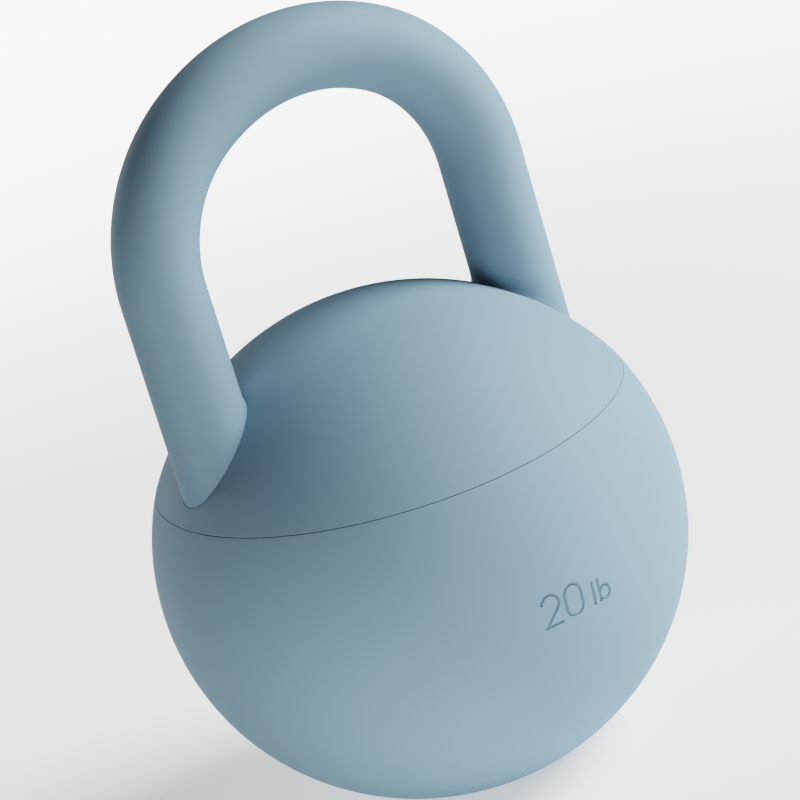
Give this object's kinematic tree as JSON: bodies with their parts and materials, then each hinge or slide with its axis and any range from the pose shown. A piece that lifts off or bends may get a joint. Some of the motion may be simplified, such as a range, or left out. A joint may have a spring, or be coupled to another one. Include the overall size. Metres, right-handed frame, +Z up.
{
  "type": "kettlebell",
  "caption": "Ball-shaped kettlebell with a soft matte skin in two shells, an arched round handle and a flat anti-slip base.",
  "frame": {"origin": "centre of the flat base, on the surface that the kettlebell stands on", "axes": "+Z up; the handle's arch stands in the XZ plane; the weight mark faces -Y"},
  "size_m": [0.2, 0.2, 0.2961],
  "materials": {
    "bowl_skin": "matte",
    "dome_skin": "matte",
    "grip_skin": "matte",
    "pad_rubber": "matte",
    "seal_rubber": "matte",
    "liner_plastic": "matte",
    "tube_plastic": "satin",
    "bare_steel": "satin",
    "zinc_steel": "satin",
    "ballast_stone": "matte"
  },
  "bodies": {
    "root": {"lower_skin": "bowl_skin", "upper_skin": "dome_skin", "handle_grip": "grip_skin", "base_pad": "pad_rubber", "lower_liner": "liner_plastic", "upper_liner": "liner_plastic", "seam_gasket": "seal_rubber", "handle_core": "bare_steel", "core_collar_right": "bare_steel", "core_collar_left": "bare_steel", "leg_seal_right": "seal_rubber", "leg_seal_left": "seal_rubber", "leg_plug_right": "bare_steel", "leg_plug_left": "bare_steel", "anchor_plate": "bare_steel", "anchor_bolts": "zinc_steel", "anchor_washers": "zinc_steel", "coupling_nut": "zinc_steel", "tie_bolt": "zinc_steel", "tie_washer": "zinc_steel", "tie_tube": "tube_plastic", "ballast": "ballast_stone"}
  },
  "joints": []
}
